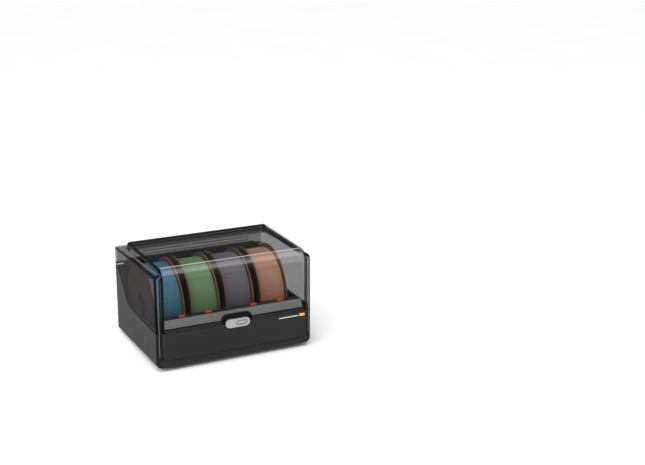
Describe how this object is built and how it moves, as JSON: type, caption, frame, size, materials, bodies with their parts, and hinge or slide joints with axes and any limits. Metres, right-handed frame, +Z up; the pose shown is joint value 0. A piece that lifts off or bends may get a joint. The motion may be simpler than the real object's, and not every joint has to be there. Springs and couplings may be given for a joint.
{
  "type": "filament dryer box",
  "caption": "Low rectangular case with a hinged smoked clear lid, filament spools on rollers inside, front feeders with push buttons and a pill-shaped latch.",
  "frame": {"origin": "on the table under the centre of the case", "axes": "+X to the right of the front, +Y to the back, +Z up"},
  "size_m": [0.366, 0.292, 0.232],
  "materials": {
    "dark_plastic": "fine matte grain",
    "black_plastic": "satin",
    "grey_plastic": "matte",
    "inlet_plastic": "smooth",
    "red_plastic": "smooth",
    "smoked_lid": "clear smoked polycarbonate",
    "satin_metal": "satin",
    "steel": "turned",
    "port_metal": "plated",
    "power_supply_metal": "folded sheet",
    "heater_metal": "finned",
    "circuit_board": "solder mask",
    "rubber": "matt",
    "cardboard": "pressed brown board",
    "filament_blue": "wound strand",
    "filament_green": "wound strand",
    "filament_mauve": "wound strand",
    "filament_orange": "wound strand"
  },
  "bodies": {
    "base": {"base_shell": "dark_plastic", "bottom_plate": "dark_plastic", "feet": "rubber", "bottom_screws": "steel", "tray_floor": "black_plastic", "roller_brackets": "black_plastic", "bay_dividers": "black_plastic", "rewind_motors": "steel", "feeder_cover": "black_plastic", "feeder_fascia": "grey_plastic", "feeder_housings": "black_plastic", "filament_inlets": "inlet_plastic", "feeder_motors": "steel", "latch_keeper": "black_plastic", "rear_tower": "black_plastic", "hinge_brackets": "black_plastic", "hinge_pins": "steel", "lid_seal": "rubber", "power_inlet": "black_plastic", "signal_ports": "port_metal", "tube_fittings": "black_plastic", "fitting_collets": "inlet_plastic", "main_board": "circuit_board", "power_supply": "power_supply_metal", "heater_duct": "black_plastic", "heater_core": "heater_metal", "fan_frame": "black_plastic"},
    "lid": {"lid_shell": "smoked_lid", "hinge_knuckles": "black_plastic", "latch_housing": "black_plastic"},
    "latch": {"latch_button": "satin_metal", "latch_hook": "black_plastic"},
    "spool_1": {"reel_1": "cardboard", "filament_1": "filament_blue"},
    "drive_roller_1_body": {"drive_roller_1": "rubber"},
    "idle_roller_1_body": {"idle_roller_1": "rubber"},
    "feed_gear_1_body": {"feed_gear_1": "steel"},
    "button_1": {"release_button_1": "red_plastic"},
    "spool_2": {"reel_2": "cardboard", "filament_2": "filament_green"},
    "drive_roller_2_body": {"drive_roller_2": "rubber"},
    "idle_roller_2_body": {"idle_roller_2": "rubber"},
    "feed_gear_2_body": {"feed_gear_2": "steel"},
    "button_2": {"release_button_2": "red_plastic"},
    "spool_3": {"reel_3": "cardboard", "filament_3": "filament_mauve"},
    "drive_roller_3_body": {"drive_roller_3": "rubber"},
    "idle_roller_3_body": {"idle_roller_3": "rubber"},
    "feed_gear_3_body": {"feed_gear_3": "steel"},
    "button_3": {"release_button_3": "red_plastic"},
    "spool_4": {"reel_4": "cardboard", "filament_4": "filament_orange"},
    "drive_roller_4_body": {"drive_roller_4": "rubber"},
    "idle_roller_4_body": {"idle_roller_4": "rubber"},
    "feed_gear_4_body": {"feed_gear_4": "steel"},
    "button_4": {"release_button_4": "red_plastic"},
    "fan": {"fan_rotor": "black_plastic"}
  },
  "joints": [
    {"name": "lid_hinge", "type": "hinge", "parent": "base", "child": "lid", "pos_m": [0, 0.133, 0.172], "axis": [-1, 0, 0], "range_deg": [0, 78]},
    {"name": "latch_press", "type": "slide", "parent": "lid", "child": "latch", "axis": [0, 1, 0], "range_m": [0, 0.002], "stiffness_N_per_m": 1500, "springref_m": -0.001},
    {"name": "spool_1_spin", "type": "hinge", "parent": "base", "child": "spool_1", "pos_m": [-0.1375, -0.003, 0.112], "axis": [1, 0, 0], "continuous": true},
    {"name": "drive_roller_1_spin", "type": "hinge", "parent": "base", "child": "drive_roller_1_body", "pos_m": [-0.1375, -0.065, 0.02443], "axis": [1, 0, 0], "continuous": true},
    {"name": "idle_roller_1_spin", "type": "hinge", "parent": "base", "child": "idle_roller_1_body", "pos_m": [-0.1375, 0.059, 0.02443], "axis": [1, 0, 0], "continuous": true},
    {"name": "feed_gear_1_spin", "type": "hinge", "parent": "base", "child": "feed_gear_1_body", "pos_m": [-0.1375, -0.117, 0.088], "axis": [1, 0, 0], "continuous": true},
    {"name": "button_1_press", "type": "slide", "parent": "base", "child": "button_1", "axis": [0, 0, -1], "range_m": [0, 0.0025], "stiffness_N_per_m": 800, "springref_m": -0.001},
    {"name": "spool_2_spin", "type": "hinge", "parent": "base", "child": "spool_2", "pos_m": [-0.056, -0.003, 0.112], "axis": [1, 0, 0], "continuous": true},
    {"name": "drive_roller_2_spin", "type": "hinge", "parent": "base", "child": "drive_roller_2_body", "pos_m": [-0.056, -0.065, 0.02443], "axis": [1, 0, 0], "continuous": true},
    {"name": "idle_roller_2_spin", "type": "hinge", "parent": "base", "child": "idle_roller_2_body", "pos_m": [-0.056, 0.059, 0.02443], "axis": [1, 0, 0], "continuous": true},
    {"name": "feed_gear_2_spin", "type": "hinge", "parent": "base", "child": "feed_gear_2_body", "pos_m": [-0.056, -0.117, 0.088], "axis": [1, 0, 0], "continuous": true},
    {"name": "button_2_press", "type": "slide", "parent": "base", "child": "button_2", "axis": [0, 0, -1], "range_m": [0, 0.0025], "stiffness_N_per_m": 800, "springref_m": -0.001},
    {"name": "spool_3_spin", "type": "hinge", "parent": "base", "child": "spool_3", "pos_m": [0.0255, -0.003, 0.112], "axis": [1, 0, 0], "continuous": true},
    {"name": "drive_roller_3_spin", "type": "hinge", "parent": "base", "child": "drive_roller_3_body", "pos_m": [0.0255, -0.065, 0.02443], "axis": [1, 0, 0], "continuous": true},
    {"name": "idle_roller_3_spin", "type": "hinge", "parent": "base", "child": "idle_roller_3_body", "pos_m": [0.0255, 0.059, 0.02443], "axis": [1, 0, 0], "continuous": true},
    {"name": "feed_gear_3_spin", "type": "hinge", "parent": "base", "child": "feed_gear_3_body", "pos_m": [0.0255, -0.117, 0.088], "axis": [1, 0, 0], "continuous": true},
    {"name": "button_3_press", "type": "slide", "parent": "base", "child": "button_3", "axis": [0, 0, -1], "range_m": [0, 0.0025], "stiffness_N_per_m": 800, "springref_m": -0.001},
    {"name": "spool_4_spin", "type": "hinge", "parent": "base", "child": "spool_4", "pos_m": [0.107, -0.003, 0.112], "axis": [1, 0, 0], "continuous": true},
    {"name": "drive_roller_4_spin", "type": "hinge", "parent": "base", "child": "drive_roller_4_body", "pos_m": [0.107, -0.065, 0.02443], "axis": [1, 0, 0], "continuous": true},
    {"name": "idle_roller_4_spin", "type": "hinge", "parent": "base", "child": "idle_roller_4_body", "pos_m": [0.107, 0.059, 0.02443], "axis": [1, 0, 0], "continuous": true},
    {"name": "feed_gear_4_spin", "type": "hinge", "parent": "base", "child": "feed_gear_4_body", "pos_m": [0.107, -0.117, 0.088], "axis": [1, 0, 0], "continuous": true},
    {"name": "button_4_press", "type": "slide", "parent": "base", "child": "button_4", "axis": [0, 0, -1], "range_m": [0, 0.0025], "stiffness_N_per_m": 800, "springref_m": -0.001},
    {"name": "fan_spin", "type": "hinge", "parent": "base", "child": "fan", "pos_m": [0.156, 0.045, 0.064], "axis": [1, 0, 0], "continuous": true}
  ],
  "couplings": [
    {"joint": "drive_roller_1_spin", "follows": "spool_1_spin", "ratio": -10.889},
    {"joint": "idle_roller_1_spin", "follows": "spool_1_spin", "ratio": -10.889},
    {"joint": "feed_gear_1_spin", "follows": "spool_1_spin", "ratio": -14.6},
    {"joint": "drive_roller_2_spin", "follows": "spool_2_spin", "ratio": -10.889},
    {"joint": "idle_roller_2_spin", "follows": "spool_2_spin", "ratio": -10.889},
    {"joint": "feed_gear_2_spin", "follows": "spool_2_spin", "ratio": -14.6},
    {"joint": "drive_roller_3_spin", "follows": "spool_3_spin", "ratio": -10.889},
    {"joint": "idle_roller_3_spin", "follows": "spool_3_spin", "ratio": -10.889},
    {"joint": "feed_gear_3_spin", "follows": "spool_3_spin", "ratio": -14.6},
    {"joint": "drive_roller_4_spin", "follows": "spool_4_spin", "ratio": -10.889},
    {"joint": "idle_roller_4_spin", "follows": "spool_4_spin", "ratio": -10.889},
    {"joint": "feed_gear_4_spin", "follows": "spool_4_spin", "ratio": -14.6}
  ]
}
